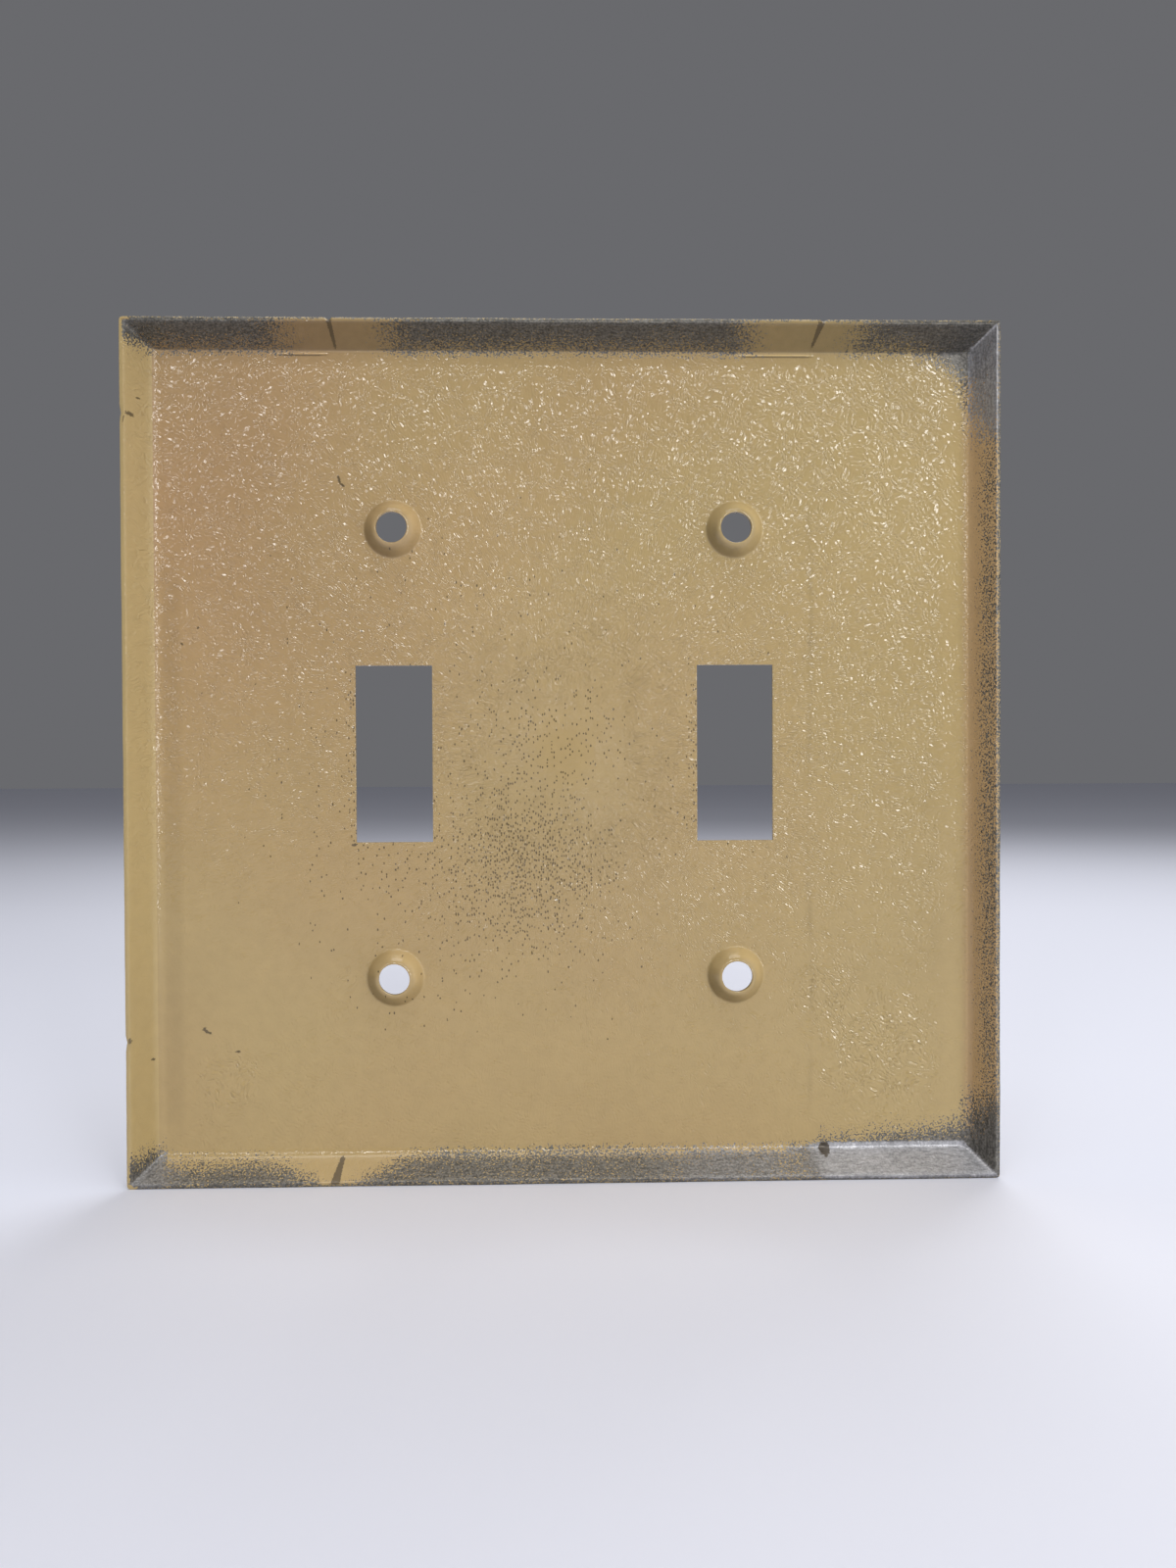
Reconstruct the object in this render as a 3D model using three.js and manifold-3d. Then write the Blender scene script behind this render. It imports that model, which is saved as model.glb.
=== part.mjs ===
// Two-gang toggle switch wall plate, pressed from one sheet of steel.
//
// Millimetres, +Z up. The origin is the centre of the plane that the rim lays on the wall.
// The wall is at -Y, the hollow back opens towards it, and the decorative face looks along +Y.

import * as THREE from "three";
import { mergeVertices } from "three/addons/utils/BufferGeometryUtils.js";
import Module from "manifold-3d";

// ---- driving dimensions ----

const WIDTH = 115.9; // 4 9/16 in, over the flanges
const HEIGHT = 114.3; // 4 1/2 in
const HOLLOW_DEPTH = 4.5; // from the wall to the back of the face
const SHEET = 0.6; // 24 gauge steel

const FLANGE_SLOPE = THREE.MathUtils.degToRad(60); // between the flange and the face
const BEND_RADIUS = 0.5; // inside the bend
const RIM_LAND = 0.2; // width of the flat that the deburred rim rests on

const GANG_PITCH = 46.04; // 1 13/16 in between neighbouring switches
const SLOT_WIDTH = 10.3; // 13/32 in, for the toggle lever
const SLOT_HEIGHT = 23.8; // 15/16 in

const SCREW_SPACING = 60.33; // 2 3/8 in between the two screws of a switch
const SCREW_HOLE_RADIUS = 2.06; // clears a No. 6-32 screw
const COUNTERSINK_RADIUS = 3.55; // an oval No. 6 head, 7.1 mm across
const COUNTERSINK_SLOPE = THREE.MathUtils.degToRad(82 / 2);

const BOSS_HEIGHT = 2.0; // how far the dimple stands out of the back of the face
const BOSS_TIP_RADIUS = 2.4;
const BOSS_BASE_RADIUS = 3.7;
const BOSS_BLEND = 0.45; // length of the soft join round the dimple's base

const BEND_STEPS = 6;
const ROUND_STEPS = 48;
const OVERCUT = 1; // how far a cutting tool runs past the metal

// ---- what follows from them ----

const DEPTH = HOLLOW_DEPTH + SHEET;
const BOSS_TIP_Y = HOLLOW_DEPTH - BOSS_HEIGHT;
const FLANGE_NORMAL = Math.PI / 2 - FLANGE_SLOPE;

// Deburring takes the sharp corner off the sheet's end, which leaves the flat land.
const DEBURR = RIM_LAND / (Math.tan(FLANGE_SLOPE) + 1 / Math.tan(FLANGE_SLOPE));
const LIP_Y = SHEET * Math.cos(FLANGE_SLOPE) - DEBURR; // widest line of the rim
const LAND_INSET = LIP_Y * Math.tan(FLANGE_SLOPE);

const ENAMEL = new THREE.MeshStandardMaterial({
  color: 0xb59d72,
  roughness: 0.4,
  metalness: 0.1,
});

// ---- manifold-3d joins and cuts ----

const wasm = await Module();
wasm.setup();

function solidFrom(geometry) {
  geometry.deleteAttribute("normal");
  geometry.deleteAttribute("uv");
  const merged = mergeVertices(geometry, 1e-4);
  const mesh = new wasm.Mesh({
    numProp: 3,
    vertProperties: merged.getAttribute("position").array,
    triVerts: new Uint32Array(merged.index.array),
  });
  return new wasm.Manifold(mesh);
}

function geometryFrom(solid) {
  const { vertProperties, triVerts } = solid.getMesh();
  const geometry = new THREE.BufferGeometry();
  geometry.setAttribute("position", new THREE.BufferAttribute(vertProperties, 3));
  geometry.setIndex(new THREE.BufferAttribute(triVerts, 1));
  const faceted = geometry.toNonIndexed();
  faceted.computeVertexNormals();
  return faceted;
}

// ---- the pan: a flat face with a sloping flange on its four sides ----

// The section across one pair of flanges. skin is 0 for the hollow, and SHEET for the outside.
function panSection(halfSpan, skin) {
  const landInner = halfSpan - LAND_INSET - RIM_LAND;
  const bendY = HOLLOW_DEPTH - BEND_RADIUS;
  const bendReach = (BEND_RADIUS + bendY * Math.cos(FLANGE_SLOPE)) / Math.sin(FLANGE_SLOPE);
  const bendX = landInner - bendReach;
  const radius = BEND_RADIUS + skin;
  const isHollow = skin === 0;
  const footX = isHollow ? landInner : halfSpan - LAND_INSET;
  const footY = isHollow ? -OVERCUT : 0;
  const lipX = isHollow ? landInner : halfSpan;
  const lipY = isHollow ? 0 : LIP_Y;

  const section = new THREE.Shape();
  section.moveTo(-footX, footY);
  section.lineTo(footX, footY);
  section.lineTo(lipX, lipY);
  section.absarc(bendX, bendY, radius, FLANGE_NORMAL, Math.PI / 2, false);
  section.absarc(-bendX, bendY, radius, Math.PI / 2, Math.PI - FLANGE_NORMAL, false);
  section.lineTo(-lipX, lipY);
  section.closePath();
  return section;
}

// Two sections swept across each other meet in mitred corners.
function mitredPan(skin) {
  const length = 1.2 * Math.max(WIDTH, HEIGHT);
  const options = { depth: length, bevelEnabled: false, curveSegments: BEND_STEPS };
  const upright = new THREE.ExtrudeGeometry(panSection(WIDTH / 2, skin), options);
  upright.translate(0, 0, -length / 2);
  const level = new THREE.ExtrudeGeometry(panSection(HEIGHT / 2, skin), options);
  level.translate(0, 0, -length / 2);
  level.rotateY(-Math.PI / 2);
  return solidFrom(upright).intersect(solidFrom(level));
}

// ---- the screw dimples and the toggle slots ----

function lathed(profile, x, z) {
  const lathe = new THREE.LatheGeometry(profile.getPoints(BEND_STEPS), ROUND_STEPS);
  lathe.translate(x, 0, z);
  return solidFrom(lathe);
}

// The dimple as a solid cone that runs half way into the sheet.
function bossAt(x, z) {
  const rise = (HOLLOW_DEPTH - BOSS_TIP_Y) / (BOSS_BASE_RADIUS - BOSS_TIP_RADIUS);
  const blendStart = BOSS_BASE_RADIUS - BOSS_BLEND / 2;
  const profile = new THREE.Path();
  profile.moveTo(0, BOSS_TIP_Y);
  profile.lineTo(BOSS_TIP_RADIUS, BOSS_TIP_Y);
  profile.lineTo(blendStart, HOLLOW_DEPTH - (BOSS_BLEND / 2) * rise);
  profile.quadraticCurveTo(
    BOSS_BASE_RADIUS,
    HOLLOW_DEPTH,
    BOSS_BASE_RADIUS + BOSS_BLEND,
    HOLLOW_DEPTH,
  );
  profile.lineTo(BOSS_BASE_RADIUS + BOSS_BLEND, HOLLOW_DEPTH + SHEET / 2);
  profile.lineTo(0, HOLLOW_DEPTH + SHEET / 2);
  return lathed(profile, x, z);
}

// What the screw takes out: a plain hole, then the seat of its countersunk head.
function screwCutAt(x, z) {
  const seatDepth = (COUNTERSINK_RADIUS - SCREW_HOLE_RADIUS) / Math.tan(COUNTERSINK_SLOPE);
  const mouthRadius = COUNTERSINK_RADIUS + OVERCUT * Math.tan(COUNTERSINK_SLOPE);
  const profile = new THREE.Path();
  profile.moveTo(0, BOSS_TIP_Y - OVERCUT);
  profile.lineTo(SCREW_HOLE_RADIUS, BOSS_TIP_Y - OVERCUT);
  profile.lineTo(SCREW_HOLE_RADIUS, DEPTH - seatDepth);
  profile.lineTo(mouthRadius, DEPTH + OVERCUT);
  profile.lineTo(0, DEPTH + OVERCUT);
  return lathed(profile, x, z);
}

function slotCutAt(x) {
  const box = new THREE.BoxGeometry(SLOT_WIDTH, SHEET + 2 * OVERCUT, SLOT_HEIGHT);
  box.translate(x, HOLLOW_DEPTH + SHEET / 2, 0);
  return solidFrom(box);
}

// ---- the plate ----

function wallPlate() {
  let plate = mitredPan(SHEET).subtract(mitredPan(0));
  for (const x of [-GANG_PITCH / 2, GANG_PITCH / 2]) {
    plate = plate.subtract(slotCutAt(x));
    for (const z of [-SCREW_SPACING / 2, SCREW_SPACING / 2]) {
      plate = plate.add(bossAt(x, z)).subtract(screwCutAt(x, z));
    }
  }
  const mesh = new THREE.Mesh(geometryFrom(plate), ENAMEL);
  mesh.name = "wall_plate";
  return mesh;
}

const wallPlateCover = new THREE.Group();
wallPlateCover.add(wallPlate());

export default wallPlateCover;
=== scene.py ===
"""Wall plate cover: the pressed, enamelled steel plate, its hollow back to the viewer, and the studio it stands in.

Shapes are worked out in millimetres and scaled to metres once. +Z is up, the wall is at -Y, and the decorative face
looks along +Y. "Plan" is a distance seen square-on to the plate, and "height" is a distance from the wall, along Y.
"""

import math
from functools import partial

import bmesh
import bpy
from bpy.props import FloatProperty, FloatVectorProperty, PointerProperty
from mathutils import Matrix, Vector, noise


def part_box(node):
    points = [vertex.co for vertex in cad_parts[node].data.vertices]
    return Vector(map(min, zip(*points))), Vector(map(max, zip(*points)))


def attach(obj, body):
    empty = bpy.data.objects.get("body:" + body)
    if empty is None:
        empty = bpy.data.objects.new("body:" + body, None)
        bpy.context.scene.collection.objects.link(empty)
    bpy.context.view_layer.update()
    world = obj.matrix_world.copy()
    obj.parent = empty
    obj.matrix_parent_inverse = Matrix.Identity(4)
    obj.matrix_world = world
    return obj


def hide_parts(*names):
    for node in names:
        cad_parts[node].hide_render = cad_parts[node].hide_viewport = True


bl_info = {
    "name": "Wall Plate Cover",
    "version": (1, 0, 0),
    "blender": (4, 5, 0),
    "location": "View3D > Sidebar > Wall Plate",
    "description": "Builds a two-gang toggle wall plate pressed from enamelled steel, and the studio it stands in",
    "category": "Add Mesh",
}

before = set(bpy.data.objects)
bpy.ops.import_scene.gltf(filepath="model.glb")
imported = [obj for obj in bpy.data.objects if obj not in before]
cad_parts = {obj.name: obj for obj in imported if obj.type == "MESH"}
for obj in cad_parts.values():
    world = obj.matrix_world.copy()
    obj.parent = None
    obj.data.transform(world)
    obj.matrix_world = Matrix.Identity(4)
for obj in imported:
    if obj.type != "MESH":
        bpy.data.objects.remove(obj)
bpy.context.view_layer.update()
PLATE_LOW, PLATE_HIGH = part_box("wall_plate")

MM = 0.001
SIDES = (-1, 1)


# ---- what a user may change ----


def length(name, description, default_mm):
    return FloatProperty(
        name=name, description=description, default=default_mm * MM, min=0.0, unit="LENGTH", precision=5
    )


def colour(name, description, hex_code):
    return FloatVectorProperty(
        name=name, description=description, default=linear(hex_code), min=0.0, max=1.0, size=3, subtype="COLOR"
    )


def linear(hex_code):
    """An sRGB colour such as "#B59D72" as the linear numbers that a shader takes."""
    parts = [int(hex_code[i : i + 2], 16) / 255 for i in (1, 3, 5)]
    return tuple(p / 12.92 if p <= 0.04045 else ((p + 0.055) / 1.055) ** 2.4 for p in parts)


class PlateSizes(bpy.types.PropertyGroup):
    """Sizes of the pressed plate."""

    width: length("Width", "Over the left and right flanges", (PLATE_HIGH[0] - PLATE_LOW[0]) / MM)
    height: length("Height", "Over the top and bottom flanges", (PLATE_HIGH[2] - PLATE_LOW[2]) / MM)
    depth: length("Depth", "From the wall to the decorative face", (PLATE_HIGH[1] - PLATE_LOW[1]) / MM)
    sheet: length("Sheet", "Thickness of the steel", 0.6)
    bend_radius: length("Bend radius", "Inside the bend between face and flange", 0.5)
    flange_slope: FloatProperty(
        name="Flange slope",
        description="Angle between the face and a flange",
        default=math.radians(60),
        subtype="ANGLE",
    )
    rim_land: length("Rim land", "Width of the deburred flat that rests on the wall", 0.2)
    gang_pitch: length("Gang pitch", "Between the middles of the two switches", 46.04)
    slot_width: length("Slot width", "Of a toggle slot", 10.3)
    slot_height: length("Slot height", "Of a toggle slot", 23.8)
    screw_spacing: length("Screw spacing", "Between the two screws of a switch", 60.33)
    hole_radius: length("Screw hole radius", "Of a screw's clearance hole", 2.06)
    seat_radius: length("Screw seat radius", "Of the countersink at the decorative face", 3.55)
    cell: length("Mesh cell", "Longest side of a mesh cell on the face", 0.85)


class EnamelLook(bpy.types.PropertyGroup):
    """Colours of the enamel and of the steel below it."""

    enamel: colour("Enamel", "Where the sprayed coat is full", "#B09A6A")
    warm_enamel: colour("Warm enamel", "Where the sprayed coat is thin and pinker", "#AC8C65")
    steel: colour("Steel", "Bare sheet with mill oil and spray dust on it", "#706D67")
    # The bright steel is also painted light on the bottom flange and at the top of the right flange.
    bright_steel: colour("Bright steel", "Bare sheet rubbed clean", "#BEBEC2")
    scar: colour("Rack mark", "Where a paint rack's wire touched the plate", "#4F4330")
    ripple: length("Ripple", "From crest to crest of the enamel's ripple", 0.55)
    ripple_height: length("Ripple height", "From trough to crest of the enamel's ripple", 0.035)
    nib_spacing: length("Nib spacing", "Between neighbouring nibs in the enamel", 0.36)
    nib_tilt: FloatProperty(
        name="Nib tilt", description="Steepest slope of a nib's top", default=math.radians(14), subtype="ANGLE"
    )


class StudioLook(bpy.types.PropertyGroup):
    """Floor, surroundings and lights."""

    floor: colour("Floor", "Plain pale floor", "#EBEDF9")
    surroundings: colour("Surroundings", "Plain, softly lit surroundings", "#CACBD1")
    fill: FloatProperty(name="Fill", description="Strength of the surroundings' light", default=0.24, min=0.0)
    softbox: FloatProperty(name="Softboxes", description="Power of a full softbox in watts", default=1.0, min=0.0)


# ---- the pressed sheet: plan marks, flange stations and dimple rings ----

BEND_STEPS = 6
FLANGE_STEPS = 8
DIMPLE_PATCH = 6.0  # half side of the square of sheet that is drawn round each screw hole
SLACK = 0.01  # for telling which points lie on a line
SEAT_ANGLE = math.radians(82)  # full angle of the countersink under an oval head
# Higher is a crisper mitre: at the bends, then at the rim.
CORNER_SHARPNESS = {(-1, 1): (15.0, 20.0), (1, 1): (7.0, 24.0), (-1, -1): (13.0, 20.0), (1, -1): (5.2, 18.0)}
# Enamel and sheet fill a bend to this tangent length, per side: the top one stays crisp.
BEND_FILL = {(-1, 0): 1.2, (1, 0): 1.3, (0, -1): 0.9}


def millimetres(sizes):
    """The plate's sizes in millimetres, by name, with what follows from them."""
    names = [n for n in sizes.__annotations__ if n != "flange_slope"]
    size = {n: getattr(sizes, n) / MM for n in names}
    slope = sizes.flange_slope
    size["slope"] = slope
    size["hollow"] = size["depth"] - size["sheet"]
    deburr = size["rim_land"] / (math.tan(slope) + 1 / math.tan(slope))
    size["lip_height"] = size["sheet"] * math.cos(slope) - deburr
    size["land_inset"] = size["lip_height"] * math.tan(slope)
    reach = (size["bend_radius"] + (size["hollow"] - size["bend_radius"]) * math.cos(slope)) / math.sin(slope)
    size["land_plan"] = reach
    size["flange_plan"] = reach + size["rim_land"] + size["land_inset"]
    return size


def flange_stations(size):
    """(plan, height, plan, height) across a flange, hollow side then face side, with plan 0 where the bend starts."""
    inner = size["bend_radius"]
    outer = inner + size["sheet"]
    centre = size["hollow"] - inner
    stations = []
    for step in range(BEND_STEPS + 1):
        turn = size["slope"] * step / BEND_STEPS
        s, c = math.sin(turn), math.cos(turn)
        stations.append((inner * s, centre + inner * c, outer * s, centre + outer * c))
    start = stations[-1]
    end = (size["land_plan"], 0.0, size["flange_plan"], size["lip_height"])
    for step in range(1, FLANGE_STEPS + 1):
        t = step / FLANGE_STEPS
        stations.append(tuple(a + (b - a) * t for a, b in zip(start, end)))
    return stations


def plan_marks(half, keys, size, stations):
    """Grid lines across the plate as (hollow side, face side, station), through every key position."""
    start = half - size["flange_plan"]
    inside = sorted(k for k in set(keys) | {-start, start} if abs(k) <= start)
    marks = []
    for low, high in zip(inside, inside[1:]):
        steps = max(1, math.ceil((high - low) / size["cell"] - 1e-6))
        marks += [(low + (high - low) * i / steps,) * 2 + (0,) for i in range(steps)]
    marks.append((start, start, 0))
    for number, (hollow, _, face, _) in enumerate(stations[1:], 1):
        marks.append((start + hollow, start + face, number))
        marks.insert(0, (-start - hollow, -start - face, number))
    return marks


def rounded_corner(x, z, start_x, start_z, reach, sharpness):
    """Pull a flange corner in, so that its mitre is a soft cone that turns crisp at the rim."""
    along, up = abs(x) - start_x, abs(z) - start_z
    ring = max(along, up)
    sharpness = sharpness[0] + (sharpness[1] - sharpness[0]) * min(1.0, ring / reach) ** 2
    shrink = ring / (along**sharpness + up**sharpness) ** (1 / sharpness)
    return math.copysign(start_x + along * shrink, x), math.copysign(start_z + up * shrink, z)


def dimple_rings(size):
    """(radius, height, radius, height) from the flat sheet to the screw hole, hollow side then face side."""
    back, front = size["hollow"], size["depth"]
    hole, seat = size["hole_radius"], size["seat_radius"]
    seat_depth = (seat - hole) / math.tan(SEAT_ANGLE / 2)

    def cone(radius):
        return front - (seat - radius) / (seat - hole) * seat_depth

    return (
        (5.3, back, 5.3, front),
        (4.7, back, 4.7, front),
        (4.2, back, 4.2, front),
        (4.0, back, 4.0, front),
        (3.88, back - 0.02, 3.86, front),
        (3.78, back - 0.08, 3.74, front),
        (3.68, back - 0.22, seat + 0.07, front - 0.004),
        (3.52, back - 0.52, seat, front - 0.045),
        (3.32, back - 0.88, seat - 0.10, cone(seat - 0.10)),
        (3.08, back - 1.23, 3.10, cone(3.10)),
        (2.84, back - 1.52, 2.84, cone(2.84)),
        (2.62, back - 1.73, 2.62, cone(2.62)),
        (2.44, back - 1.87, 2.44, cone(2.44)),
        (2.29, back - 1.955, 2.29, cone(2.29)),
        (2.18, back - 1.99, 2.18, cone(2.18)),
        (2.10, back - 2.00, 2.10, cone(2.10)),
        (hole, back - 1.96, hole, cone(hole)),
    )


def even_angle(dx, dz):
    """The angle of a point on a square's outline, spread evenly along its sides."""
    if abs(dx) >= abs(dz):
        turn = math.pi / 4 * dz / abs(dx)
        return turn if dx > 0 else math.pi - turn
    turn = math.pi / 4 * dx / abs(dz)
    return math.pi / 2 - turn if dz > 0 else turn - math.pi / 2


# ---- handling marks: where the plate differs from a perfect pressing ----

# Wires of a paint rack held the plate by its rim: (x, z) at the rim, (x, z) at the far end, and the width at each.
RACK_MARKS = (
    ((-30.75, 57.1), (-30.45, 54.3), 0.75, 0.35),
    ((34.15, 57.1), (33.45, 54.6), 0.95, 0.35),
    ((-30.75, -57.1), (-30.20, -54.4), 1.30, 0.60),
)
BEND_DENT = (35.1, -54.0, 0.85)  # x, z and radius of a small dark dent in the bottom bend
DENT_DEPTH = 0.22
MARK_CELL = 0.16  # the mesh is this fine across a rack mark
# Nicks in the rim: x, z, radius and depth, at the top and then at the left.
TOP_NICKS = ((-30.75, 57.1, 0.30, 0.30), (34.3, 57.1, 0.30, 0.18))
LEFT_NICKS = ((-57.9, 44.6, 0.35, 0.15), (-57.9, -37.8, 0.40, 0.15))
FACE_LINE = (33.2, 35.5, -48.4)  # x, top and bottom of a faint draw line
BEND_BURRS = ((-38.0, -31.5), (23.8, 33.8))  # x from and to, just below the top bend
BURR_Z = 53.55
BURR_HEIGHT = 0.07
FACE_BOW = 0.05  # how far the middle of the face sinks towards the wall
FACE_SWAY = 0.03  # how far its flatness wanders on top of that
RIM_WAVE, RIM_TREMBLE, RIM_LIFT = 0.028, 0.012, 0.030  # the rim's slow and quick wander in plan, and its lift
BROKEN_EDGE = 0.07  # width of the worn edge round the rim, the slots and the holes
SHARP_EDGE = math.radians(48)  # an edge is worn when its faces turn more than this


def wander(x, z, period, seed):
    """A smooth value from about -1 to 1 that changes over period millimetres."""
    return 1.6 * noise.noise(Vector((x / period + seed * 7.31, z / period - seed * 3.17, seed * 1.93)))


def within(value, low, high):
    """How far value lies inside low to high, in millimetres, and negative outside."""
    return min(value - low, high - value)


def step_up(value, low, high):
    """0 at low, 1 at high, and smooth between."""
    t = min(1.0, max(0.0, (value - low) / (high - low)))
    return t * t * (3 - 2 * t)


def bump_at(x, z, at_x, at_z, radius):
    """1 at a point, falling smoothly to 0 at the radius."""
    return step_up(-math.hypot(x - at_x, z - at_z), -radius, 0.0)


def stroke(x, z, mark):
    """1 on a rack mark, falling to 0 at its edge."""
    (x0, z0), (x1, z1), wide, narrow = mark
    dx, dz = x1 - x0, z1 - z0
    t = min(1.0, max(0.0, ((x - x0) * dx + (z - z0) * dz) / (dx * dx + dz * dz)))
    half = (wide + (narrow - wide) * t) / 2
    gap = math.hypot(x - x0 - dx * t, z - z0 - dz * t)
    return step_up(-gap, -half - 0.12, -half + 0.12)


def bend_fill(x, y, z, size):
    """Fill the concave bends with an arc that is tangent to the face and to the flange."""
    half_angle = math.tan(size["slope"] / 2)
    corner = size["bend_radius"] * half_angle - size["flange_plan"]
    for (side_x, side_z), tangent in BEND_FILL.items():
        past = side_x * x - size["width"] / 2 if side_x else side_z * z - size["height"] / 2
        past -= corner
        if side_z:
            tangent *= 1 - 0.7 * step_up(x, 29.0, 33.0)
        if -tangent < past < tangent * math.cos(size["slope"]):
            radius = tangent / half_angle
            y = min(y, size["hollow"] - radius + math.sqrt(radius**2 - (past + tangent) ** 2))
    return y


def handled(point, station, is_face_side, size):
    """Where handling, the press and the paint rack leave a point of a perfect plate. It stays in the plate's box."""
    x, y, z = point
    half_x = size["width"] / 2 - size["flange_plan"]
    half_z = size["height"] / 2 - size["flange_plan"]
    if station == 0:
        bow = max(0.0, 1 - (x / half_x) ** 2) * max(0.0, 1 - (z / half_z) ** 2)
        sway = 0.5 + 0.5 * wander(x, z, 38.0, 1)
        y -= FACE_BOW * bow + FACE_SWAY * sway * min(1.0, 3 * bow)
    if not is_face_side:
        y = bend_fill(x, y, z, size)
        for low, high in BEND_BURRS:
            along = step_up(within(x, low, high), -0.4, 1.2)
            y -= BURR_HEIGHT * along * step_up(-abs(z - BURR_Z), -0.16, 0.0)
        dent_x, dent_z, dent_radius = BEND_DENT
        y += DENT_DEPTH * bump_at(x, z, dent_x, dent_z, dent_radius + 0.2)
    rim = max(0, station - BEND_STEPS) / FLANGE_STEPS
    if rim:
        pull = RIM_WAVE * rim * (1 + wander(x, z, 9.0, 2)) + RIM_TREMBLE * rim * (1 + wander(x, z, 2.2, 3))
        y += RIM_LIFT * rim * (1 + wander(x, z, 14.0, 4))
        for at_x, at_z, radius, depth in TOP_NICKS + LEFT_NICKS:
            pull += depth * rim**6 * bump_at(x, z, at_x, at_z, radius * 1.9)
        if abs(x) > half_x:
            x -= math.copysign(pull, x)
        if abs(z) > half_z:
            z -= math.copysign(pull, z)
        y += pull * 0.6
    return Vector((x, y, z))


# ---- where the spray reached ----

COAT = "coat"  # over 1 is full enamel, under 0 is bare steel, and between them the spray is a dust of specks
PINHOLES = "pinholes"  # share of the pinholes' places that hold one
TONE_AND_PAINTED_LIGHT = "tone_and_painted_light"  # lighter or darker enamel, about 0.5, with painted shade and painted light on the flanges, burrs and dimples
WARMTH = "warmth"  # towards the pinker enamel
RIPPLE = "ripple"  # how strong the ripple is
RUBBED_AND_PAINTED_LIGHT = "rubbed_and_painted_light"  # towards bright steel: rubbed steel, and painted light where the bottom and right flanges face the lights
SCARRED = "scarred"  # rack marks and the dent in the bottom bend
HOLLOW = "hollow"  # 1 on the hollow side and 0 on the decorative side
PAINT_FIELDS = (COAT, PINHOLES, TONE_AND_PAINTED_LIGHT, WARMTH, RIPPLE, RUBBED_AND_PAINTED_LIGHT, SCARRED, HOLLOW)
FULL_COAT = 1.7
COVERED = -9.0  # the bare depth where no bare patch is near


def bare_depth(x, z, ex, ez):
    """How far a point of the hollow side lies inside a patch that the spray missed. ex and ez are past the bends."""
    bare = [COVERED]
    if ez > -0.6 and z > 0:
        # The top flange, but for a painted stretch round each of the rack's wires.
        off_racks = min(-within(x, -38.1, -22.7), -within(x, 24.1, 39.9))
        bare.append(min(0.9 * (ez - 0.45), 0.45 * off_racks))
    if ez > -1.2 and z < 0:
        # The bottom flange, but for a painted stretch round the rack's wire, and less so before its bright end.
        widening = 2.6 * max(0.0, 2.9 - ez)
        off_rack = -within(x, -33.8 - widening, -27.3 + widening)
        start = 1.25 - 0.9 * step_up(x, -30.0, -14.0) - 0.55 * step_up(x, 30.0, 35.0)
        off_blend = 1.2 - 0.9 * step_up(within(x, 27.8, 33.1), -1.0, 1.5)
        bare.append(min(1.1 * (ez - start), 0.5 * off_rack, off_blend))
    if ex > -0.6 and x < 0:
        # The ends of the left flange.
        bare.append(0.9 * max(z - 54.3, -53.5 - z))
    if ex > -0.6 and x > 0:
        # The ends of the right flange, and a thin coat along its rim.
        ends = max(0.34 * (z - 46.5 + 2.3 * ex), 0.42 * (1.45 * ex - 49.3 - z))
        bare.append(min(0.9 * (ex - 0.2), ends))
        bare.append(min(-0.2, 1.2 * (ex - 2.2)))
    if x > 34.0 and z < -45.0:
        # The face beside the right end of the bottom bend.
        bare.append(0.8 * (0.10 * (x - 36.0) - 53.0 - z))
    if x > 47.3 and z > 45.9:
        # The upper right corner of the face.
        bare.append(0.9 * (math.hypot(x - 47.3, z - 45.9) - 7.7))
    return max(bare) + 0.22 * wander(x, z, 6.0, 5) + 0.16 * wander(x, z, 1.7, 6)


# Patches of coarser nibs: x, z and radius.
NIB_PATCHES = ((43.5, -41.0, 13.0), (35.0, -33.0, 6.0), (-46.0, -43.5, 6.0))
# Clouds of pinholes: x, z, radius, and the share of places that hold one at the middle.
PINHOLE_CLOUDS = (
    (-4.5, -15.0, 15.0, 0.55),
    (-14.0, -17.0, 24.0, 0.12),
    (-2.0, 2.0, 13.0, 0.22),
    (-10.0, -2.0, 45.0, 0.035),
)
BESIDE_SLOTS = (-28.4, 17.8)  # x, just left of each toggle slot, where a row of pinholes follows the cut


def from_nearest_hole(x, z, size):
    """A point's offset from the middle of the screw hole that is nearest to it."""
    return x - math.copysign(size["gang_pitch"] / 2, x), z - math.copysign(size["screw_spacing"] / 2, z)


def coat_of(x, z, ex, ez):
    """How much enamel lies here. A few specks reach every bare patch but the one at the lower right."""
    least = 0.0 if z < 0 and x < 30 else -0.05
    least -= 0.6 * step_up(x, 30.0, 35.0) * step_up(-z, 40.0, 50.0)
    return min(FULL_COAT, max(least, 0.5 - 0.30 * bare_depth(x, z, ex, ez)))


def pinholes_of(x, z):
    """The clouds of pinholes, and the rows beside the toggle slots."""
    share = sum(most * bump_at(x, z, *cloud) for *cloud, most in PINHOLE_CLOUDS)
    for at_x in BESIDE_SLOTS:
        share += 0.25 * step_up(-abs(x - at_x), -1.8, -0.2) * step_up(-abs(z), -14.0, -8.0)
    return min(1.0, share)


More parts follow.
